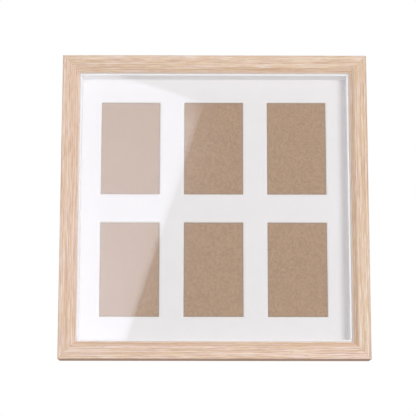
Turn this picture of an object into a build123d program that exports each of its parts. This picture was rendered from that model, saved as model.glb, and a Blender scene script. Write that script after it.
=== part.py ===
"""Square collage photo frame: mitred moulding, glass, spacers, six-window mat, back and hardware.

The frame stands upright with its front towards -Y. The origin is the middle of its underside.
"""

from build123d import *

import os
from math import radians, tan

# Outside of the frame
frame_size = 455.0
frame_depth = 38.0

# Moulding section, measured inwards from the outer face and back from the front
face_width = 26.0
flat_width = 18.3
slope_drop = 7.2
lip_depth = 7.8
rebate_width = 6.0
outer_edge_radius = 1.2
back_edge_radius = 0.6
sight_edge_radius = 0.5
crease_radius = 8.0

# What lies in the rebate, from the front to the back; the loose spacers and mat have slid to the left
glass_thickness = 1.6
glass_arris = 0.3
spacer_depth = 23.6
spacer_thickness = 8.2
mat_thickness = 1.5
backing_thickness = 3.0
sheet_play = 0.8
mat_play = 1.5
mat_slide = -1.3
spacer_play = 0.7
spacer_end_gap = 0.2
spacer_slide = -0.6

# Mat windows, measured at the back edge of their bevels
window_columns = 3
window_rows = 2
window_width = 89.0
window_height = 141.7
window_pitch_x = 124.9
window_pitch_z = 184.1
bevel_angle = 45.0

# Bent corner nails, two to a mitre, with their points on the mitre line
nail_height = 10.0
nail_leg = 6.0
nail_gauge = 0.8
nail_insets = (9.0, 16.5)

# Screws, the same for the turn buttons and the hanger straps
screw_radius = 1.75
screw_length = 16.0
screw_head_radius = 3.6
screw_head_height = 2.2
screw_head_crown = 2.6
screw_fit = 0.03
recess_length = 4.4
recess_width = 1.0
recess_depth = 1.1

# Turn buttons, along the rail at rest and turned inwards over the back when closed
button_pitch = 180.0
button_inset = 11.0
button_width = 11.0
button_heel_radius = 5.4
button_tip_radius = 2.5
button_arm = 24.0
button_heel = 7.5
button_gauge = 1.0
button_fit = 0.05
button_gap = 0.1
button_tip_length = 5.0
button_tip_rise = 1.6

# Strap hangers on the side rails
hanger_height = 352.0
strap_width = 9.6
strap_gauge = 1.0
strap_screw_drop = 17.0
strap_tail = 5.5
strap_corner_radius = 4.6
strap_hole_fit = 0.15
ring_wire_radius = 1.2
ring_wire_flats = 6
ring_fit = 0.07
ring_bar_half = 5.2
ring_corner_radius = 2.5
ring_lift = 2.6
curl_mouth_from = 225.0
curl_mouth_to = 300.0

# Rubber dots low on the back
bumper_radius = 6.0
bumper_height = 3.0
bumper_bevel = 1.2
bumper_spread = 360.0

# Sizes that follow from these
front_y = -frame_depth / 2
back_y = frame_depth / 2
centre_z = frame_size / 2
sight_opening = frame_size - 2 * face_width
rebate_opening = sight_opening + 2 * rebate_width
sheet_size = rebate_opening - 2 * sheet_play
mat_size = rebate_opening - 2 * mat_play
rail_back_width = face_width - rebate_width
glass_front = lip_depth
spacer_front = glass_front + glass_thickness
mat_front = spacer_front + spacer_depth
backing_front = mat_front + mat_thickness

back = Vector(0, 1, 0)
centre = Vector(0, 0, centre_z)
inward_from = {
    "bottom": Vector(0, 0, 1),
    "right": Vector(-1, 0, 0),
    "top": Vector(0, 0, -1),
    "left": Vector(1, 0, 0),
}


def face_plane(depth, slide=0.0):
    """A plane parallel to the front, at a depth behind it, about the centre or a slide to its right."""
    return Plane(origin=(slide, front_y + depth, centre_z), x_dir=(1, 0, 0), z_dir=(0, -1, 0))


def rail_back_plane(inward):
    """The back of one rail: local x along the rail, local y inwards from its outer face, z off the back."""
    outer_middle = centre - inward * (frame_size / 2)
    return Plane(origin=outer_middle + back * back_y, x_dir=inward.cross(back), z_dir=back)


def save(builder, name):
    """Label one finished piece and write it under its name."""
    builder.part.label = name
    export_step(builder.part, f"parts/{name}.step")


os.makedirs("parts", exist_ok=True)

button_spots = [(offset, button_inset) for offset in (-button_pitch / 2, button_pitch / 2)]
screw_hole_depth = screw_length + 1.0

# Corner nails: right-angled steel strips, their corner on the mitre line and a leg in each rail
with BuildPart() as corner_v_nails:
    with BuildSketch(face_plane(frame_depth)):
        for side_x in (-1, 1):
            for side_z in (-1, 1):
                for inset in nail_insets:
                    point = frame_size / 2 - inset
                    leg_middle = point + nail_leg / 2
                    with Locations((side_x * leg_middle, side_z * (point + nail_gauge / 2))):
                        Rectangle(nail_leg, nail_gauge)
                    with Locations((side_x * (point + nail_gauge / 2), side_z * leg_middle)):
                        Rectangle(nail_gauge, nail_leg)
    extrude(amount=nail_height)
save(corner_v_nails, "corner_v_nails")

# Rails: the moulding section run along each side and cut at 45 degrees through the frame's corners
for side, inward in inward_from.items():
    along = inward.cross(back)
    outer_middle = centre - inward * (frame_size / 2)
    section_plane = Plane(origin=outer_middle + back * front_y, x_dir=inward, z_dir=along)
    with BuildPart() as rail:
        with BuildSketch(section_plane):
            with BuildLine():
                Polyline(
                    (0, 0),
                    (flat_width, 0),
                    (face_width, slope_drop),
                    (face_width, lip_depth),
                    (rail_back_width, lip_depth),
                    (rail_back_width, frame_depth),
                    (0, frame_depth),
                    close=True,
                )
            make_face()
            outer_corners = vertices().group_by(Axis.X)[0].sort_by(Axis.Y)
            crease = vertices().group_by(Axis.X)[1]
            sight_corner = vertices().group_by(Axis.X)[-1].sort_by(Axis.Y)[0]
            fillet(outer_corners[0], outer_edge_radius)
            fillet(outer_corners[-1], back_edge_radius)
            fillet(sight_corner, sight_edge_radius)
            fillet(crease, crease_radius)
        extrude(amount=frame_size / 2, both=True)
        for end in (along, -along):
            corner = outer_middle + end * (frame_size / 2)
            split(bisect_by=Plane(origin=corner, z_dir=-(end + inward)), keep=Keep.TOP)
        with BuildSketch(rail_back_plane(inward)):
            with Locations(*button_spots):
                Circle(screw_radius + screw_fit)
            if side in ("left", "right"):
                strap_screw_along = (hanger_height - strap_screw_drop - centre_z) * along.Z
                with Locations((strap_screw_along, rail_back_width / 2)):
                    Circle(screw_radius + screw_fit)
        extrude(amount=-screw_hole_depth, mode=Mode.SUBTRACT)
        add(corner_v_nails.part, mode=Mode.SUBTRACT)
    save(rail, f"{side}_rail")

# Glass pane: a plain sheet with its sharp edges taken off
with BuildPart() as glass_pane:
    with BuildSketch(face_plane(glass_front)):
        Rectangle(sheet_size, sheet_size)
    extrude(amount=-glass_thickness)
    chamfer(glass_pane.edges(), glass_arris)
save(glass_pane, "glass_pane")

# Spacers: strips on edge round the inside of the rebate, the side ones between the other two
spacer_ring = rebate_opening / 2 - spacer_play - spacer_thickness / 2
long_spacer = rebate_opening - 2 * spacer_play
short_spacer = long_spacer - 2 * (spacer_thickness + spacer_end_gap)
spacer_sections = {
    "top": (0, spacer_ring, long_spacer, spacer_thickness),
    "bottom": (0, -spacer_ring, long_spacer, spacer_thickness),
    "left": (-spacer_ring, 0, spacer_thickness, short_spacer),
    "right": (spacer_ring, 0, spacer_thickness, short_spacer),
}
for side, (middle_x, middle_z, width, height) in spacer_sections.items():
    with BuildPart() as spacer:
        with BuildSketch(face_plane(spacer_front, spacer_slide)):
            with Locations((middle_x, middle_z)):
                Rectangle(width, height)
        extrude(amount=-spacer_depth)
    save(spacer, f"{side}_spacer")

# Mat board: one sheet with its windows cut on the slant, so that a white bevel faces the front
bevel_run = mat_thickness * tan(radians(bevel_angle))
with BuildPart() as mat_board:
    with BuildSketch(face_plane(mat_front, mat_slide)):
        Rectangle(mat_size, mat_size)
    extrude(amount=-mat_thickness)
    with BuildSketch(face_plane(mat_front, mat_slide)):
        with GridLocations(window_pitch_x, window_pitch_z, window_columns, window_rows):
            Rectangle(window_width + 2 * bevel_run, window_height + 2 * bevel_run)
    extrude(amount=-mat_thickness, taper=bevel_angle, mode=Mode.SUBTRACT)
save(mat_board, "mat_board")

# Backing board: the brown fibreboard that shows through the windows and closes the back
with BuildPart() as backing_board:
    with BuildSketch(face_plane(backing_front)):
        Rectangle(sheet_size, sheet_size)
    extrude(amount=-backing_thickness)
save(backing_board, "backing_board")

# One cross-head screw, its head's underside at the origin and its blunt shank down -Z
with BuildPart() as screw:
    with BuildSketch(Plane.XZ):
        with BuildLine():
            Polyline(
                (0, screw_head_height),
                (screw_head_crown, screw_head_height),
                (screw_head_radius, 0),
                (screw_radius, 0),
                (screw_radius, -screw_length),
                (0, -screw_length),
                close=True,
            )
        make_face()
    revolve(axis=Axis.Z)
    with BuildSketch(Plane.XY.offset(screw_head_height)):
        Rectangle(recess_length, recess_width)
        Rectangle(recess_width, recess_length)
    extrude(amount=-recess_depth, mode=Mode.SUBTRACT)

# Turn button screws, two to a rail, their heads just clear of the plates that turn under them
button_top = 2 * button_gap + button_gauge
with BuildPart() as turn_button_screws:
    for inward in inward_from.values():
        with Locations(rail_back_plane(inward).offset(button_top)):
            with Locations(*button_spots):
                add(screw.part)
save(turn_button_screws, "turn_button_screws")

# Turn buttons: plates with a lifted finger tip, each pointing to the middle of its rail
number = 0
for inward in inward_from.values():
    rail_back = rail_back_plane(inward)
    for offset, inset in button_spots:
        number += 1
        arm = rail_back.x_dir * (-1 if offset > 0 else 1)
        pivot = rail_back.from_local_coords(Vector(offset, inset, button_gap))
        with BuildPart() as turn_button:
            with BuildSketch(Plane(origin=pivot, x_dir=arm, z_dir=arm.cross(back))):
                with BuildLine():
                    Polyline(
                        (-button_heel, 0),
                        (button_arm - button_tip_length, 0),
                        (button_arm, button_tip_rise),
                        (button_arm, button_tip_rise + button_gauge),
                        (button_arm - button_tip_length, button_gauge),
                        (-button_heel, button_gauge),
                        close=True,
                    )
                make_face()
            extrude(amount=button_width / 2, both=True)
            with BuildSketch(Plane(origin=pivot, x_dir=arm, z_dir=back)):
                with Locations(((button_arm - button_heel) / 2, 0)):
                    Rectangle(button_arm + button_heel, button_width)
                plan_corners = vertices().group_by(Axis.X)
                fillet(plan_corners[0], button_heel_radius)
                fillet(plan_corners[-1], button_tip_radius)
                Circle(screw_radius + button_fit, mode=Mode.SUBTRACT)
            extrude(amount=button_tip_rise + button_gauge, mode=Mode.INTERSECT)
        save(turn_button, f"turn_button_{number}")

# Strap hangers: a plate curled round the straight bar of a D-ring, which hangs down over the plate
hanger_x = frame_size / 2 - rail_back_width / 2
curl_inner = ring_wire_radius + ring_fit
curl_outer = curl_inner + strap_gauge
strap_length = strap_screw_drop + strap_tail
for side, hand in (("left", -1), ("right", 1)):
    hinge_foot = Vector(hand * hanger_x, back_y, hanger_height)
    with BuildPart() as hanger_strap:
        with BuildSketch(Plane(origin=hinge_foot, x_dir=back, z_dir=(1, 0, 0))):
            with Locations((ring_lift, 0)):
                Circle(curl_outer)
                Circle(curl_inner, mode=Mode.SUBTRACT)
            with BuildLine():
                mouth_start = PolarLine((ring_lift, 0), 2 * curl_outer, curl_mouth_from)
                mouth_end = PolarLine((ring_lift, 0), 2 * curl_outer, curl_mouth_to)
                Line(mouth_start @ 1, mouth_end @ 1)
            make_face(mode=Mode.SUBTRACT)
            Rectangle(strap_gauge, strap_length, align=(Align.MIN, Align.MAX))
        extrude(amount=strap_width / 2, both=True)
        fillet(hanger_strap.edges().filter_by(Axis.Y).group_by(Axis.Z)[0], strap_corner_radius)
        with BuildSketch(Plane(origin=hinge_foot, x_dir=(1, 0, 0), z_dir=(0, -1, 0))):
            with Locations((0, -strap_screw_drop)):
                Circle(screw_radius + strap_hole_fit)
        extrude(amount=-strap_gauge, mode=Mode.SUBTRACT)
    save(hanger_strap, f"hanger_strap_{side}")

    ring_plane = Plane(origin=hinge_foot + back * ring_lift, x_dir=(1, 0, 0), z_dir=(0, -1, 0))
    with BuildPart() as hanger_ring:
        with BuildLine(ring_plane):
            bar = Line((-ring_bar_half, 0), (ring_bar_half, 0))
            turn_down = JernArc(bar @ 1, bar % 1, ring_corner_radius, -90)
            bow = JernArc(turn_down @ 1, turn_down % 1, ring_bar_half + ring_corner_radius, -180)
            JernArc(bow @ 1, bow % 1, ring_corner_radius, -90)
        with BuildSketch(Plane(origin=bar @ 0, z_dir=bar % 0)):
            RegularPolygon(ring_wire_radius, ring_wire_flats)
        sweep()
    save(hanger_ring, f"hanger_ring_{side}")

# Hanger screws, one through each strap
with BuildPart() as hanger_screws:
    for hand in (-1, 1):
        head_seat = Vector(hand * hanger_x, back_y + strap_gauge, hanger_height - strap_screw_drop)
        with Locations(Plane(origin=head_seat, x_dir=(1, 0, 0), z_dir=back)):
            add(screw.part)
save(hanger_screws, "hanger_screws")

# Wall bumpers: rubber dots on the bottom rail that keep the frame off the wall
with BuildPart() as wall_bumpers:
    with Locations(rail_back_plane(inward_from["bottom"])):
        with Locations((-bumper_spread / 2, rail_back_width / 2), (bumper_spread / 2, rail_back_width / 2)):
            Cylinder(bumper_radius, bumper_height, align=(Align.CENTER, Align.CENTER, Align.MIN))
    chamfer(wall_bumpers.edges().group_by(Axis.Y)[-1], bumper_bevel)
save(wall_bumpers, "wall_bumpers")
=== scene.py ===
import math

import bmesh
import bpy
from mathutils import Matrix, Vector


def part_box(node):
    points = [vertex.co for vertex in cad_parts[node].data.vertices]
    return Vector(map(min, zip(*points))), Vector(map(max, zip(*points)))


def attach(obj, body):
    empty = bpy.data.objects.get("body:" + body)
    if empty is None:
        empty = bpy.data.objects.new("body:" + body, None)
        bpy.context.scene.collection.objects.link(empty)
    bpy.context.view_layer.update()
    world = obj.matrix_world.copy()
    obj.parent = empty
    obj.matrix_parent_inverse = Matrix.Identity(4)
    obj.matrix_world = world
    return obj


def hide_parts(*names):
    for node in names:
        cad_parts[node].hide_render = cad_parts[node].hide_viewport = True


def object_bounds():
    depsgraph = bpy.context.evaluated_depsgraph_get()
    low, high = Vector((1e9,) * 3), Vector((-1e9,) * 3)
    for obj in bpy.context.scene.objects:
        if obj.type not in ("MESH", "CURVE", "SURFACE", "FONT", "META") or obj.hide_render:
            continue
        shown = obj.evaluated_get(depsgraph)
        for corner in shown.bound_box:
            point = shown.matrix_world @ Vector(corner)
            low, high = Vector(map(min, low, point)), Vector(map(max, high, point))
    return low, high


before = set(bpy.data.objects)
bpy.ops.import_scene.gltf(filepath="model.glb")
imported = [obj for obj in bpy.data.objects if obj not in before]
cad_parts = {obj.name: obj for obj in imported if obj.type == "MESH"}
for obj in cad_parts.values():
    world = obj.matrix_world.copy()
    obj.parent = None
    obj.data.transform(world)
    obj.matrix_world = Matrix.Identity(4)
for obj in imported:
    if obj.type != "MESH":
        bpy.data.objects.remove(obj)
solid_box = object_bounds()


# Rails: four lengths of pale oak moulding, flat in front with a slope down to a thin inner lip.
# They are planed, cut at 45 degrees, glued and nailed from behind, and left with a matt oil finish.
class Signal:
    """One output of a shader node. Arithmetic adds Math nodes, and node() adds any other kind."""

    def __init__(self, socket):
        self.socket = socket

    def node(self, kind, settings, sockets, output=0):
        """Add a node to the same tree: its settings first, then the values or links of its sockets."""
        tree = self.socket.id_data
        made = tree.nodes.new("ShaderNode" + kind)
        for name, value in settings.items():
            setattr(made, name, value)
        for name, value in sockets.items():
            socket = made.inputs[name]
            if isinstance(value, Signal):
                tree.links.new(value.socket, socket)
            elif socket.type == "RGBA":
                socket.default_value = (*value, 1.0)
            else:
                socket.default_value = value
        return Signal(made.outputs[output])

    def math(self, operation, *values):
        return self.node("Math", {"operation": operation}, dict(enumerate(values)))

    def __add__(self, other):
        return self.math("ADD", self, other)

    __radd__ = __add__

    def __sub__(self, other):
        return self.math("SUBTRACT", self, other)

    def __rsub__(self, other):
        return self.math("SUBTRACT", other, self)

    def __mul__(self, other):
        return self.math("MULTIPLY", self, other)

    __rmul__ = __mul__

    def __pow__(self, other):
        return self.math("POWER", self, other)

    def __abs__(self):
        return self.math("ABSOLUTE", self)

    def part(self, axis):
        """One of X, Y and Z of a vector."""
        return self.node("SeparateXYZ", {}, {"Vector": self}, output=axis)

    def dot(self, direction):
        """How far a vector reaches in a direction."""
        return self.node("VectorMath", {"operation": "DOT_PRODUCT"}, {0: self, 1: direction}, output="Value")

    def length(self):
        """How long a vector is."""
        return self.node("VectorMath", {"operation": "LENGTH"}, {0: self}, output="Value")

    def scaled(self, factors):
        """A vector with each of its parts multiplied by its own factor."""
        return self.node("VectorMath", {"operation": "MULTIPLY"}, {0: self, 1: factors})

    def moved(self, offset):
        """A vector with another added to it, or with one number added to each of its parts."""
        return self.node("VectorMath", {"operation": "ADD"}, {0: self, 1: offset})

    def noise(self, detail, roughness=0.5, distortion=0.0):
        """Soft noise, from 0 to 1, over coordinates counted in cells."""
        sockets = {
            "Vector": self,
            "Scale": 1.0,
            "Detail": detail,
            "Roughness": roughness,
            "Distortion": distortion,
        }
        return self.node("TexNoise", {"noise_dimensions": "3D"}, sockets)

    def speckle(self, per_metre, detail, roughness=0.5):
        """Soft noise, from 0 to 1, with so many cells to a metre in every direction."""
        return self.scaled((per_metre, per_metre, per_metre)).noise(detail, roughness)

    def rise(self, low, high):
        """0 below low and 1 above high, with a smooth step between."""
        settings = {"interpolation_type": "SMOOTHSTEP"}
        return self.node("MapRange", settings, {"Value": self, "From Min": low, "From Max": high})

    def blend(self, first, second):
        """The first colour where the signal is 0 and the second where it is 1."""
        first_colour, second_colour, mixed_colour = 6, 7, 2
        sockets = {"Factor": self, first_colour: first, second_colour: second}
        return self.node("Mix", {"data_type": "RGBA"}, sockets, mixed_colour)

    def bump(self, height):
        """A surface normal bent by this signal, whose full range stands that many metres high."""
        return self.node("Bump", {}, {"Strength": 1.0, "Distance": height, "Height": self})


def new_finish(name):
    """An empty material, and the Object coordinates of what it will cover, in metres."""
    material = bpy.data.materials.new(name)
    material.use_nodes = True
    material.node_tree.nodes.clear()
    coordinates = material.node_tree.nodes.new("ShaderNodeTexCoord")
    return material, Signal(coordinates.outputs["Object"])


def close_finish(shader, kind="Material"):
    """Make a shader the surface of its material, or of the world."""
    tree = shader.socket.id_data
    end = tree.nodes.new("ShaderNodeOutput" + kind)
    tree.links.new(shader.socket, end.inputs["Surface"])


def dress(material, pieces):
    """Give pieces one finish in place of the one that they carry."""
    for piece in pieces:
        piece.data.materials.clear()
        piece.data.materials.append(material)


frame_low, frame_high = solid_box
frame_middle = (frame_low.z + frame_high.z) / 2
half_size = frame_high.x
along_x, along_z = 0, 2

# Colours of the wood, and the factors that tone it down or up by place, most of them painted shade.
oak_tan = (0.640, 0.448, 0.316)
oak_straw = (0.800, 0.598, 0.390)
oak_blush = (0.804, 0.578, 0.470)
oak_pale = (0.900, 0.772, 0.672)
oak_pore = (0.470, 0.310, 0.200)
oak_seam = (0.330, 0.210, 0.130)
# Pale lip colour: edge wear, and a painted highlight where the sight edge catches the light.
oak_worn_and_lit = (0.930, 0.840, 0.780)
untinted = (1.0, 1.0, 1.0)
# Painted shade on the slopes: deeper in the hollow, and the right rail's slope darker than the left's.
slope_shade_tint = (0.970, 0.935, 0.900)
left_slope_shade_tint = (0.989, 0.978, 0.994)
right_slope_shade_tint = (0.945, 0.910, 0.882)
# Painted shade on the outer sides: darkest at the front arris and under the bottom rail.
arris_shade_tint = (0.820, 0.735, 0.710)
side_shade_tint = (0.970, 0.945, 0.930)
underside_shade_tint = (0.770, 0.670, 0.640)
# The bottom and left rails are drawn about five percent paler than the top and right ones.
lower_left_paler_tint = (1.050, 1.038, 1.065)

# The grain's cells, across and along it, and the part of the noise's range that each pattern spans.
oak_cut = (0.052, 0.029, 0.0077)
bend_cell = (0.050, 0.090)
bend_depth = 0.0015
line_cell = (0.0010, 0.200)
fleck_cell = (0.0009, 0.028)
tint_cell = (0.0010, 0.040)
pore_cell = (0.0005, 0.010)
line_range = (0.38, 0.62)
tint_range = (0.42, 0.58)
pore_range = (0.60, 0.72)
dark_range = (0.0, 0.50)
pale_range = (0.52, 1.0)
line_share = 0.55

# Where the section changes. Insets are counted from the outside, and depths are places along Y.
length_split = 0.001
slope_inset = (0.0165, 0.0205)
slope_depth = (-0.010, 0.0)
lip_inset = (0.0238, 0.0262)
arris_inset = (0.0001, 0.0009)
foot_inset = (0.00005, 0.0003)
arris_depth = (-0.0188, -0.0170)
seam_gap = (0.0001, 0.0005)

lip_wear_and_highlight = 0.55
pore_stain = 0.35
seam_stain = 0.20
pore_sink = 0.8
grain_height = 0.00010
oak_roughness = 0.56
fleck_roughness = 0.14
pore_roughness = 0.20
oak_gloss = 0.08


def grain_noise(place, lengthwise, cell):
    """Soft noise, from 0 to 1, in long cells that lie with the grain."""
    across, along = cell
    factors = [1 / across, 1 / across, 1 / across]
    factors[lengthwise] = 1 / along
    return place.scaled(factors).noise(detail=1.0)


def oak(name, lengthwise):
    """Pale oak with its grain along one axis: long lines, short flecks, two tints and open pores."""
    material, place = new_finish(name)
    bends = grain_noise(place, lengthwise, bend_cell)
    wavy = place.moved(oak_cut).moved(bend_depth * bends)
    lines = grain_noise(wavy, lengthwise, line_cell).rise(*line_range)
    flecks = grain_noise(wavy, lengthwise, fleck_cell).rise(*line_range)
    tint = grain_noise(wavy, lengthwise, tint_cell).rise(*tint_range)
    pores = grain_noise(wavy, lengthwise, pore_cell).rise(*pore_range)
    tone = line_share * lines + (1 - line_share) * flecks
    ground = tint.blend(oak_straw, oak_blush)
    darker = tone.rise(*dark_range).blend(oak_tan, ground)
    wood = tone.rise(*pale_range).blend(darker, oak_pale)
    pored = (pore_stain * pores).blend(wood, oak_pore)

    rightward = place.part("X")
    depth = place.part("Y")
    upward = place.part("Z") - frame_middle
    outward = upward if lengthwise == along_x else rightward
    inset = half_size - abs(outward)
    upper_or_right = outward.rise(-length_split, length_split)
    # The bottom and left rails are made a few percent paler here.
    matched = pored.scaled(upper_or_right.blend(lower_left_paler_tint, untinted))
    slope = inset.rise(*slope_inset) * (1 - depth.rise(*slope_depth))
    # The outer sides are painted darker as shade, and the bottom rail's underside darkest of all.
    side = depth.rise(*arris_depth).blend(arris_shade_tint, side_shade_tint)
    edge = inset.rise(*arris_inset)
    if lengthwise == along_x:
        slope_shade = slope_shade_tint
        side = upper_or_right.blend(underside_shade_tint, side)
        edge = upper_or_right * edge + (1 - upper_or_right) * inset.rise(*foot_inset)
    else:
        slope_shade = upper_or_right.blend(left_slope_shade_tint, right_slope_shade_tint)
    # The slope is painted darker as shade, most of all on the right rail.
    slope_shaded = matched.scaled(slope.blend(untinted, slope_shade))
    # The lip is paler, partly from wear and partly as a painted highlight on its edge.
    worn_and_lit = (lip_wear_and_highlight * inset.rise(*lip_inset)).blend(slope_shaded, oak_worn_and_lit)
    shaded = worn_and_lit.scaled(edge.blend(side, untinted))
    seam = 1 - abs(abs(rightward) - abs(upward)).rise(*seam_gap)
    relief = 0.5 * lines + 0.5 * flecks - pore_sink * pores - seam
    sockets = {
        "Base Color": (seam_stain * seam).blend(shaded, oak_seam),
        "Roughness": oak_roughness + fleck_roughness * flecks + pore_roughness * pores,
        "Specular IOR Level": oak_gloss,
        "Normal": relief.bump(grain_height),
    }
    close_finish(place.node("BsdfPrincipled", {}, sockets))
    return material


dress(oak("oak_level", along_x), [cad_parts["top_rail"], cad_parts["bottom_rail"]])
dress(oak("oak_upright", along_z), [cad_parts["left_rail"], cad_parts["right_rail"]])

# Corner nails: bent strips of zinc-plated steel, driven flush into the back across each mitre.
# Only their thin edges show, as two small angles in each corner.
zinc_light = (0.62, 0.63, 0.64)
zinc_dark = (0.42, 0.43, 0.45)
spangle_per_metre = 900
stain_per_metre = 120
stain_range = (0.35, 0.7)
spangle_roughness = 0.18
stain_shine = 0.06
spangle_height = 0.00003
nail_roughness = 0.30


def zinc(name, roughness):
    """Plated steel: a pale metal with a faint spangle and an uneven shine."""
    material, place = new_finish(name)
    spangle = place.speckle(spangle_per_metre, detail=3.0, roughness=0.6)
    stain = place.speckle(stain_per_metre, detail=2.0).rise(*stain_range)
    sockets = {
        "Base Color": (0.5 * spangle + 0.5 * stain).blend(zinc_dark, zinc_light),
        "Metallic": 1.0,
        "Roughness": roughness + spangle_roughness * spangle - stain_shine * stain,
        "Normal": spangle.bump(spangle_height),
    }
    close_finish(place.node("BsdfPrincipled", {}, sockets))
    return material


plated_steel = zinc("plated_steel", nail_roughness)
dress(plated_steel, [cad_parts["corner_v_nails"]])

# Glass pane: a thin sheet of clear float glass, laid into the rebate behind the lip.
# Each face sends back a twenty-fifth of what meets it head on, and more at a slant.
head_on_share = 0.04
slant_power = 5
clear_glass, glass_place = new_finish("clear_glass")
slant = glass_place.node("LayerWeight", {}, {"Blend": 0.5}, output="Facing")
see_through = glass_place.node("BsdfTransparent", {}, {"Color": untinted})
mirror = glass_place.node("BsdfAnisotropic", {}, {"Color": untinted, "Roughness": 0.0})
mirrored_share = head_on_share + (1 - head_on_share) * slant ** slant_power
close_finish(glass_place.node("MixShader", {}, {"Fac": mirrored_share, 1: see_through, 2: mirror}))
dress(clear_glass, [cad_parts["glass_pane"]])

# Spacers: strips of board wrapped in smooth white paper, stood on edge round the rebate.
# They hold the mat well back from the glass, and their front edges line the opening.
wrap_white = (0.96, 0.95, 0.955)
wrap_shade = (0.93, 0.92, 0.925)
wrap_fibres_per_metre = 1500
wrap_clouds_per_metre = 60
wrap_range = (0.35, 0.65)
wrap_roughness = 0.50
wrap_fibre_roughness = 0.15
wrap_gloss = 0.3
wrap_fibre_height = 0.00003
white_wrap, wrap_place = new_finish("white_wrap")
wrap_fibre = wrap_place.speckle(wrap_fibres_per_metre, detail=3.0, roughness=0.6)
wrap_cloud = wrap_place.speckle(wrap_clouds_per_metre, detail=2.0)
wrap_tone = (0.5 * wrap_fibre + 0.5 * wrap_cloud).rise(*wrap_range)
wrap_sockets = {
    "Base Color": wrap_tone.blend(wrap_shade, wrap_white),
    "Roughness": wrap_roughness + wrap_fibre_roughness * wrap_fibre,
    "Specular IOR Level": wrap_gloss,
    "Normal": wrap_fibre.bump(wrap_fibre_height),
}
close_finish(wrap_place.node("BsdfPrincipled", {}, wrap_sockets))
dress(white_wrap, [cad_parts[side + "_spacer"] for side in ("top", "bottom", "left", "right")])

# Mat board: white paper-faced card with six windows cut on the slant.
# The cut bares the card's brighter core as a thin bevel round each window.
paper_face = (0.888, 0.864, 0.868)
paper_shade = (0.866, 0.842, 0.846)
paper_core = (0.990, 0.970, 0.945)
tooth_per_metre = 2200
clouds_per_metre = 45
tooth_share = 0.6
paper_range = (0.36, 0.64)
bevel_turn = (0.75, 0.95)
paper_roughness = 0.78
tooth_roughness = 0.12
paper_gloss = 0.2
tooth_height = 0.00004
mat_paper, mat_place = new_finish("mat_paper")
tooth = mat_place.speckle(tooth_per_metre, detail=3.0, roughness=0.65)
cloud = mat_place.speckle(clouds_per_metre, detail=3.0, roughness=0.6)
paper_tone = (tooth_share * tooth + (1 - tooth_share) * cloud).rise(*paper_range)
facing = mat_place.node("TexCoord", {}, {}, output="Normal").part("Y")
cut = 1 - abs(facing).rise(*bevel_turn)
mat_sockets = {
    "Base Color": cut.blend(paper_tone.blend(paper_shade, paper_face), paper_core),
    "Roughness": paper_roughness + tooth_roughness * tooth,
    "Specular IOR Level": paper_gloss,
    "Normal": tooth.bump(tooth_height),
}
close_finish(mat_place.node("BsdfPrincipled", {}, mat_sockets))
dress(mat_paper, [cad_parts["mat_board"]])

# Backing board: brown wood-fibre board, pressed to a faint gloss in front and left dull behind.
# It lies loose in the back of the rebate, and shows through the empty windows with a thin painted
# shadow round their edges, where the mat's cut edge shades it. It is held in by the turn buttons.
board_dark = (0.338, 0.190, 0.090)
board_light = (0.430, 0.252, 0.130)
board_chip = (0.214, 0.103, 0.042)
# Colour of the painted shadow line round the windows.
board_edge_shadow = (0.250, 0.200, 0.160)
flecks_per_metre = 270
fibres_per_metre = (1400, 1400, 2600)
chips_per_metre = 420
blotches_per_metre = 80
fleck_share = 0.70
fibre_share = 0.16
blotch_share = 0.14
board_range = (0.36, 0.64)
chip_range = (0.68, 0.78)
chip_stain = 0.25
edge_shadow_strength = 0.55
edge_shadow_inner = (-0.0028, -0.0013)
edge_shadow_outer = (0.0004, 0.0012)
front_to_back = (0.0158, 0.0165)
back_roughness = 0.72
fibre_roughness = 0.16
front_polish = 0.66
board_gloss = 0.75
fibre_relief = 0.6
board_height = 0.000004
window_middle = -0.0013
window_half_width = 0.0445
window_half_height = 0.07085
window_step_across = 0.1249
window_step_up = 0.1841
fibreboard, board_place = new_finish("fibreboard")
flecks = board_place.speckle(flecks_per_metre, detail=2.0)
fibres = board_place.scaled(fibres_per_metre).noise(detail=2.0, roughness=0.6, distortion=0.8)
chips = board_place.speckle(chips_per_metre, detail=1.0).rise(*chip_range)
blotches = board_place.speckle(blotches_per_metre, detail=2.0)
board_tone = (fleck_share * flecks + fibre_share * fibres + blotch_share * blotches).rise(*board_range)
bare_board = (chip_stain * chips).blend(board_tone.blend(board_dark, board_light), board_chip)
from_middle = abs(board_place.part("X") - window_middle)
from_column = from_middle.math("MINIMUM", from_middle, abs(from_middle - window_step_across))
from_row = abs(abs(board_place.part("Z") - frame_middle) - window_step_up / 2)
past_edge = from_row.math("MAXIMUM", from_column - window_half_width, from_row - window_half_height)
# Painted shadow: a thin dark line on the board inside each window, where the mat's cut edge shades it.
window_edge_shadow = past_edge.rise(*edge_shadow_inner) * (1 - past_edge.rise(*edge_shadow_outer))
front_side = 1 - board_place.part("Y").rise(*front_to_back)
board_sockets = {
    "Base Color": (edge_shadow_strength * window_edge_shadow * front_side).blend(bare_board, board_edge_shadow),
    "Roughness": back_roughness + fibre_roughness * fibres - front_polish * front_side,
    "Specular IOR Level": board_gloss,
    "Normal": (fibre_relief * fibres + (1 - fibre_relief) * flecks).bump(board_height),
}
close_finish(board_place.node("BsdfPrincipled", {}, board_sockets))
dress(fibreboard, [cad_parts["backing_board"]])

# Turn buttons: eight small zinc-plated plates, stamped with a lifted finger tip and tumbled smooth.
# Each turns on its own screw in the back of a rail, and turned inwards it keeps the backing board in.
button_count = 8
button_names = [f"turn_button_{number + 1}" for number in range(button_count)]
stamped_edge = 0.00022
stamped_edge_steps = 2
weld_gap = 0.000002
flat_angle = math.radians(1)
sharp_angle = math.radians(40)
plate_smooth_angle = math.radians(14)


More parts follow.
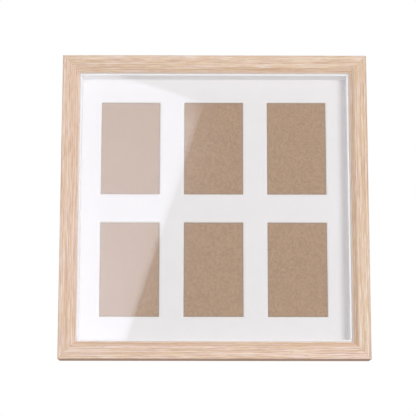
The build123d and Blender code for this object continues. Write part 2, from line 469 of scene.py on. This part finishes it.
def rounded_copy(node, body):
    """A copy of one solid with its sharp edges rounded off, which stands in its place on its body."""
    piece = bpy.data.objects.new(node + "_stamped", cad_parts[node].data.copy())
    bpy.context.scene.collection.objects.link(piece)
    bpy.ops.object.select_all(action="DESELECT")
    piece.select_set(True)
    bpy.context.view_layer.objects.active = piece
    bpy.ops.object.mode_set(mode="EDIT")
    bpy.ops.mesh.select_all(action="SELECT")
    bpy.ops.mesh.remove_doubles(threshold=weld_gap)
    bpy.ops.mesh.dissolve_limited(angle_limit=flat_angle)
    bpy.ops.object.mode_set(mode="OBJECT")
    rounding = piece.modifiers.new("rounding", "BEVEL")
    rounding.width = stamped_edge
    rounding.segments = stamped_edge_steps
    rounding.limit_method = "ANGLE"
    rounding.angle_limit = sharp_angle
    bpy.ops.object.modifier_apply(modifier=rounding.name)
    bpy.ops.object.shade_smooth_by_angle(angle=plate_smooth_angle)
    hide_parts(node)
    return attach(piece, body)


turn_buttons = [rounded_copy(name, name) for name in button_names]
dress(plated_steel, turn_buttons)

# Screws: zinc-plated, with a domed head, a tapered cross recess, a rolled thread and a sharp point.
# Eight hold the turn buttons and two the hanger straps, each driven into a drilled hole.
head_radius = 0.0036
head_height = 0.0022
head_dome = 0.0019
head_sides = 32
dome_steps = 6
neck_radius = 0.00175
neck_length = 0.0030
core_radius = 0.00125
core_length = 0.0090
point_length = 0.0040
thread_root = 0.00120
thread_crest = 0.00170
thread_pitch = 0.0014
thread_turns = 6
thread_start = 0.0024
thread_steps = 24
thread_weld_gap = 0.000001
recess_length = 0.0044
recess_width = 0.0010
recess_depth = 0.0011
recess_taper = 0.55
sliver_size = 0.000001
screw_smooth_angle = math.radians(35)
screw_roughness = 0.26
button_inset = 0.011
button_spacing = 0.180
button_seat = 0.0202
hanger_inset = 0.010
hanger_screw_height = 0.335
hanger_seat = 0.0200
outwards = Vector((0, 1, 0))
quarter_turn = math.radians(90)
facing_back = (-quarter_turn, 0, 0)
same_way = 0.999


def pick_faces(piece, direction):
    """Select, in edit mode, only the faces that look straight in one direction."""
    shape = bmesh.from_edit_mesh(piece.data)
    bpy.ops.mesh.select_all(action="DESELECT")
    for face in shape.faces:
        if face.normal.dot(direction) > same_way:
            face.select_set(True)
    bmesh.update_edit_mesh(piece.data)


def combine(piece, tool, operation):
    """Add one mesh to a piece or cut it out of it, and throw the tool away."""
    bpy.context.view_layer.objects.active = piece
    step = piece.modifiers.new("step", "BOOLEAN")
    step.operation = operation
    step.object = tool
    bpy.ops.object.modifier_apply(modifier=step.name)
    bpy.data.objects.remove(tool)


def repeat(piece, name, shift):
    """A copy of a piece with a mesh of its own, set down a shift away."""
    twin = bpy.data.objects.new(name, piece.data.copy())
    twin.data.transform(Matrix.Translation(shift))
    bpy.context.scene.collection.objects.link(twin)
    return twin


button_reach = half_size - button_inset
hanger_reach = half_size - hanger_inset
hands = {"left": -1, "right": 1}
spots = [(hand * button_spacing / 2, end * button_reach) for end in (-1, 1) for hand in (-1, 1)]
button_seats = [Vector((along, button_seat, frame_middle + out)) for along, out in spots]
button_seats += [Vector((out, button_seat, frame_middle + along)) for along, out in spots]
first_seat = button_seats[0]

# The head is a cylinder with its rim rounded to a dome. Neck, core and point are drawn out of its back.
bpy.ops.object.select_all(action="DESELECT")
bpy.ops.mesh.primitive_cylinder_add(
    vertices=head_sides,
    radius=head_radius,
    depth=head_height,
    location=first_seat + outwards * (head_height / 2),
    rotation=facing_back,
)
bpy.ops.object.transform_apply(location=True, rotation=True)
screw = bpy.context.object
screw.name = "turn_button_screw_1"
bpy.ops.object.mode_set(mode="EDIT")
bpy.ops.mesh.select_mode(type="FACE")
pick_faces(screw, outwards)
bpy.ops.mesh.bevel(offset=head_dome, segments=dome_steps, affect="EDGES")
pick_faces(screw, -outwards)
bpy.ops.mesh.inset(thickness=head_radius - neck_radius)
bpy.ops.mesh.extrude_region_move(TRANSFORM_OT_translate={"value": -outwards * neck_length})
bpy.ops.mesh.inset(thickness=neck_radius - core_radius)
bpy.ops.mesh.extrude_region_move(TRANSFORM_OT_translate={"value": -outwards * core_length})
bpy.ops.mesh.extrude_region_move(TRANSFORM_OT_translate={"value": -outwards * point_length})
bpy.ops.mesh.merge(type="CENTER")
bpy.ops.object.mode_set(mode="OBJECT")

# The thread is a zigzag line beside the axis, wound once round it with one pitch of lead.
bpy.ops.object.select_all(action="DESELECT")
bpy.ops.mesh.primitive_plane_add(size=thread_root, location=first_seat)
thread = bpy.context.object
bpy.ops.object.mode_set(mode="EDIT")
bpy.ops.mesh.select_mode(type="VERT")
bpy.ops.mesh.select_all(action="SELECT")
bpy.ops.mesh.merge(type="CENTER")
bpy.ops.transform.translate(value=(thread_root, -thread_start, 0))
thread_depth = thread_crest - thread_root
for flank in range(2 * thread_turns):
    across = thread_depth if flank % 2 == 0 else -thread_depth
    bpy.ops.mesh.extrude_region_move(TRANSFORM_OT_translate={"value": (across, -thread_pitch / 2, 0)})
bpy.ops.object.mode_set(mode="OBJECT")
winding = thread.modifiers.new("winding", "SCREW")
winding.axis = "Y"
winding.screw_offset = -thread_pitch
winding.steps = thread_steps
winding.render_steps = thread_steps
bpy.ops.object.modifier_apply(modifier=winding.name)
bpy.ops.object.mode_set(mode="EDIT")
bpy.ops.mesh.select_all(action="SELECT")
bpy.ops.mesh.remove_doubles(threshold=thread_weld_gap)
bpy.ops.mesh.select_mode(type="EDGE")
bpy.ops.mesh.select_all(action="DESELECT")
bpy.ops.mesh.select_non_manifold()
bpy.ops.mesh.fill_holes(sides=0)
bpy.ops.mesh.select_all(action="SELECT")
bpy.ops.mesh.normals_make_consistent(inside=False)
bpy.ops.object.mode_set(mode="OBJECT")
combine(screw, thread, "UNION")

# The recess is cut by two crossed blades that narrow towards their bottom.
for blade_width, blade_height in ((recess_length, recess_width), (recess_width, recess_length)):
    bpy.ops.object.select_all(action="DESELECT")
    bpy.ops.mesh.primitive_cube_add(size=1.0)
    blade = bpy.context.object
    bpy.ops.object.mode_set(mode="EDIT")
    bpy.ops.mesh.select_mode(type="FACE")
    pick_faces(blade, -outwards)
    bpy.ops.transform.resize(value=(recess_taper, 1, recess_taper))
    bpy.ops.mesh.select_all(action="SELECT")
    bpy.ops.transform.resize(value=(blade_width, 2 * recess_depth, blade_height))
    bpy.ops.transform.translate(value=first_seat + outwards * head_height)
    bpy.ops.object.mode_set(mode="OBJECT")
    combine(screw, blade, "DIFFERENCE")
bpy.ops.object.select_all(action="DESELECT")
screw.select_set(True)
bpy.ops.object.mode_set(mode="EDIT")
bpy.ops.mesh.select_all(action="SELECT")
bpy.ops.mesh.dissolve_degenerate(threshold=sliver_size)
bpy.ops.object.mode_set(mode="OBJECT")
bpy.ops.object.shade_smooth_by_angle(angle=screw_smooth_angle)

screws = [screw]
for number, seat in enumerate(button_seats[1:], 2):
    screws.append(repeat(screw, f"turn_button_screw_{number}", seat - first_seat))
for piece in screws:
    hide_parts("turn_button_screws")
for side, hand in hands.items():
    seat = Vector((hand * hanger_reach, hanger_seat, hanger_screw_height))
    strap_screw = repeat(screw, f"hanger_screw_{side}", seat - first_seat)
    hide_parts("hanger_screws")
    screws.append(strap_screw)
dress(zinc("screw_steel", screw_roughness), screws)
for piece in screws:
    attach(piece, "frame")

# Strap hangers: a nickel-plated strap curled round the bar of a bent wire ring, one on each side rail.
# The straps are stamped and screwed down, and the rings swing up to take a wall hook.
ring_bar = 0.0104
ring_corner = 0.0025
wire_radius = 0.0012
wire_sides = 14
corner_steps = 5
bow_steps = 20
ring_weld_gap = 0.00001
ring_roughness = 0.16
hinge_height = 0.352
hinge_y = 0.0216
half_turn = math.radians(180)
facing_right = (0, quarter_turn, 0)
straps = [rounded_copy(f"hanger_strap_{side}", "frame") for side in hands]
hinges = {side: Vector((hand * hanger_reach, hinge_y, hinge_height)) for side, hand in hands.items()}
bar_half = Vector((ring_bar / 2, 0, 0))
bow_centre = hinges["left"] - Vector((0, 0, ring_corner))
bpy.ops.object.select_all(action="DESELECT")
bpy.ops.mesh.primitive_circle_add(
    vertices=wire_sides,
    radius=wire_radius,
    location=hinges["left"] - bar_half,
    rotation=facing_right,
)
bpy.ops.object.transform_apply(location=True, rotation=True)
left_ring = bpy.context.object
left_ring.name = "hanger_wire_left"
bpy.ops.object.mode_set(mode="EDIT")
bpy.ops.mesh.select_mode(type="VERT")
bpy.ops.mesh.select_all(action="SELECT")
bpy.ops.mesh.extrude_region_move(TRANSFORM_OT_translate={"value": 2 * bar_half})
bends = (
    (bow_centre + bar_half, quarter_turn, corner_steps),
    (bow_centre, half_turn, bow_steps),
    (bow_centre - bar_half, quarter_turn, corner_steps),
)
for centre, turn, steps in bends:
    bpy.ops.mesh.spin(steps=steps, angle=-turn, center=centre, axis=outwards)
bpy.ops.mesh.select_all(action="SELECT")
bpy.ops.mesh.remove_doubles(threshold=ring_weld_gap)
bpy.ops.mesh.normals_make_consistent(inside=False)
bpy.ops.object.mode_set(mode="OBJECT")
bpy.ops.object.shade_smooth()
right_ring = repeat(left_ring, "hanger_wire_right", hinges["right"] - hinges["left"])
rings = {"left": left_ring, "right": right_ring}
for side, ring in rings.items():
    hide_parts(f"hanger_ring_{side}")
    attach(ring, f"hanger_ring_{side}")
dress(plated_steel, straps)
dress(zinc("ring_wire", ring_roughness), rings.values())

# Wall bumpers: two milky soft-rubber dots, moulded with a rounded rim and a shallow dimple.
# They are stuck low on the back, keep the frame off the wall and stop it sliding.
bumper_radius = 0.006
bumper_height = 0.003
bumper_sides = 40
bumper_rim = 0.0019
rim_steps = 6
dimple_edge = 0.0009
dimple_depth = 0.0004
bumper_spread = 0.360
bumper_inset = 0.010
bumper_smooth_angle = math.radians(40)
rubber_pale = (0.72, 0.73, 0.71)
rubber_deep = (0.58, 0.60, 0.58)
haze_per_metre = 700
haze_range = (0.3, 0.7)
rubber_roughness = 0.30
haze_roughness = 0.20
haze_height = 0.00003
frame_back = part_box("bottom_rail")[1].y
bpy.ops.object.select_all(action="DESELECT")
bpy.ops.mesh.primitive_cylinder_add(
    vertices=bumper_sides,
    radius=bumper_radius,
    depth=bumper_height,
    location=(-bumper_spread / 2, frame_back + bumper_height / 2, bumper_inset),
    rotation=facing_back,
)
bpy.ops.object.transform_apply(location=True, rotation=True)
left_bumper = bpy.context.object
left_bumper.name = "wall_bumper_left"
bpy.ops.object.mode_set(mode="EDIT")
bpy.ops.mesh.select_mode(type="FACE")
pick_faces(left_bumper, outwards)
bpy.ops.mesh.bevel(offset=bumper_rim, segments=rim_steps, affect="EDGES")
pick_faces(left_bumper, outwards)
bpy.ops.mesh.inset(thickness=dimple_edge)
bpy.ops.mesh.inset(thickness=dimple_edge, depth=-dimple_depth)
bpy.ops.object.mode_set(mode="OBJECT")
bpy.ops.object.shade_smooth_by_angle(angle=bumper_smooth_angle)
bumpers = [left_bumper, repeat(left_bumper, "wall_bumper_right", Vector((bumper_spread, 0, 0)))]
milky_rubber, rubber_place = new_finish("milky_rubber")
haze = rubber_place.speckle(haze_per_metre, detail=3.0)
rubber_sockets = {
    "Base Color": haze.rise(*haze_range).blend(rubber_deep, rubber_pale),
    "Roughness": rubber_roughness + haze_roughness * haze,
    "Normal": haze.bump(haze_height),
}
close_finish(rubber_place.node("BsdfPrincipled", {}, rubber_sockets))
dress(milky_rubber, bumpers)
for piece in bumpers:
    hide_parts("wall_bumpers")
    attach(piece, "frame")

# Floor: a plain pale sheet under the frame that keeps its shadow and pales away to white with distance.
# The photograph looks up from below the floor's level, so only its upper side shows.
floor_size = 12.0
floor_pale = (0.60, 0.60, 0.60)
floor_glow = (0.45, 0.45, 0.45)
floor_roughness = 0.9
floor_fade = (0.35, 1.75)
floor_drop = 0.0005
full_black = (0.0, 0.0, 0.0)
full_white = (1.0, 1.0, 1.0)
bpy.ops.object.select_all(action="DESELECT")
bpy.ops.mesh.primitive_plane_add(size=floor_size, location=(0, 0, -floor_drop))
bpy.ops.object.transform_apply(location=True)
floor = bpy.context.object
floor.name = "floor"
floor.visible_diffuse = False
floor.visible_shadow = False
pale_floor, floor_place = new_finish("pale_floor")
underneath = floor_place.node("NewGeometry", {}, {}, output="Backfacing")
far = floor_place.length().rise(*floor_fade)
floor_sockets = {
    "Base Color": far.blend(floor_pale, full_black),
    "Roughness": floor_roughness,
    "Specular IOR Level": 0.0,
    "Emission Color": far.blend(floor_glow, full_white),
    "Emission Strength": 1.0,
}
upper_side = floor_place.node("BsdfPrincipled", {}, floor_sockets)
nothing = floor_place.node("BsdfTransparent", {}, {})
close_finish(floor_place.node("MixShader", {}, {"Fac": underneath, 1: upper_side, 2: nothing}))
dress(pale_floor, [floor])

# Studio light: a key softbox to the right, one behind, and a glowing card in front that the glass mirrors.
# Each lamp's share is the part of a full exposure that it gives the middle of the side it faces.
# The card shines brighter lower down, and fades towards its slanted side and its top corner.
key_place = (0.93, -1.97, 0.26)
key_size = 0.74
key_share = 0.36
back_place = (-0.9, 2.2, 1.1)
back_size = 1.6
back_share = 0.45
subject = Vector((0, 0, frame_middle))


def softbox(name, place, size, share):
    """A square area lamp aimed at the frame's middle, with the power for its share of a full exposure.

    Such a lamp spreads its power over pi square distances, and a white face sends back a pi-th of that.
    """
    away = Vector(place) - subject
    slant_factor = abs(away.y) / away.length
    lamp = bpy.data.lights.new(name, "AREA")
    lamp.shape = "RECTANGLE"
    lamp.size = size
    lamp.size_y = size
    lamp.energy = share * math.pi ** 2 * away.length_squared / slant_factor
    stand = bpy.data.objects.new(name, lamp)
    stand.location = place
    stand.rotation_euler = away.to_track_quat("Z", "Y").to_euler()
    stand.visible_camera = False
    bpy.context.scene.collection.objects.link(stand)
    return stand


key = softbox("key_softbox", key_place, key_size, key_share)
key.visible_glossy = False
softbox("back_softbox", back_place, back_size, back_share)

card_corner = Vector((-0.012, -1.40, 0.740))
card_width = 0.50
card_height = 0.80
card_soft_side = 0.007
card_soft_top = 0.016
card_roll = math.radians(17.7)
card_level = 3.15
card_low = (1.02, 1.05, 1.16)
card_high = (0.79, 0.82, 0.90)
card_fall = (0.0, 0.75)
card_side_share = 0.40
card_side_fade = 0.024
card_corner_share = 0.30
card_corner_fade = 0.095
bpy.ops.object.select_all(action="DESELECT")
bpy.ops.mesh.primitive_plane_add(size=1.0)
card = bpy.context.object
card.name = "front_softbox"
card_down = Vector((-math.sin(card_roll), 0, -math.cos(card_roll)))
card_left = Vector((-math.cos(card_roll), 0, math.sin(card_roll)))
card_start = card_corner - card_down * (card_soft_top / 2) - card_left * (card_soft_side / 2)
card_centre = card_start + card_down * (card_height / 2) + card_left * (card_width / 2)
for corner in card.data.vertices:
    down, left = corner.co.y * card_height, corner.co.x * card_width
    corner.co = card_centre + card_down * down + card_left * left
card.visible_camera = False
card.visible_shadow = False
front_glow, card_place = new_finish("front_glow")
from_start = card_place.moved(-card_start)
from_side = from_start.dot(card_left)
from_top = from_start.dot(card_down)
within = from_side.rise(0, card_soft_side) * from_top.rise(0, card_soft_top)
near_side = card_side_share + (1 - card_side_share) * from_side.rise(0, card_side_fade)
near_corner = card_corner_share + (1 - card_corner_share) * from_start.length().rise(0, card_corner_fade)
room_white = (1 / card_level, 1 / card_level, 1 / card_level)
card_white = card_place.part("Z").rise(*card_fall).blend(card_low, card_high)
glow = (within * near_side * near_corner).blend(room_white, card_white)
card_sockets = {
    "Base Color": full_black,
    "Specular IOR Level": 0.0,
    "Emission Color": glow,
    "Emission Strength": card_level,
}
close_finish(card_place.node("BsdfPrincipled", {}, card_sockets))
dress(front_glow, [card])

# Surroundings: an even white room. It is full white to the eye, in the glass and in the metal,
# and lights the object at about half that level, so that pale surfaces don't clip.
room_level = 0.495
scene = bpy.context.scene
scene.world = bpy.data.worlds.new("white_room")
scene.world.use_nodes = True
scene.world.node_tree.nodes.clear()
light_path = scene.world.node_tree.nodes.new("ShaderNodeLightPath")
seen_rays = ("Is Camera Ray", "Is Glossy Ray", "Is Transmission Ray")
seen, mirrored, passed = [Signal(light_path.outputs[kind]) for kind in seen_rays]
direct = seen.math("MAXIMUM", seen, mirrored.math("MAXIMUM", mirrored, passed))
room_strength = room_level + (1 - room_level) * direct
room = direct.node("Background", {}, {"Color": full_white, "Strength": room_strength})
close_finish(room, "World")
scene.view_settings.view_transform = "Standard"

# Camera: a long lens a little over two metres in front of the frame and below its foot.
# It looks up at the frame's middle, as in the photograph.
camera_place = (-0.0185, -2.189, -0.1765)
camera_turn = [math.radians(degrees) for degrees in (100.403, -0.063, -0.244)]
lens_length = 129.6
sensor_width = 36.0
view = bpy.data.cameras.new("camera")
view.lens = lens_length
view.sensor_width = sensor_width
camera = bpy.data.objects.new("camera", view)
camera.location = camera_place
camera.rotation_euler = camera_turn
scene.collection.objects.link(camera)
scene.camera = camera
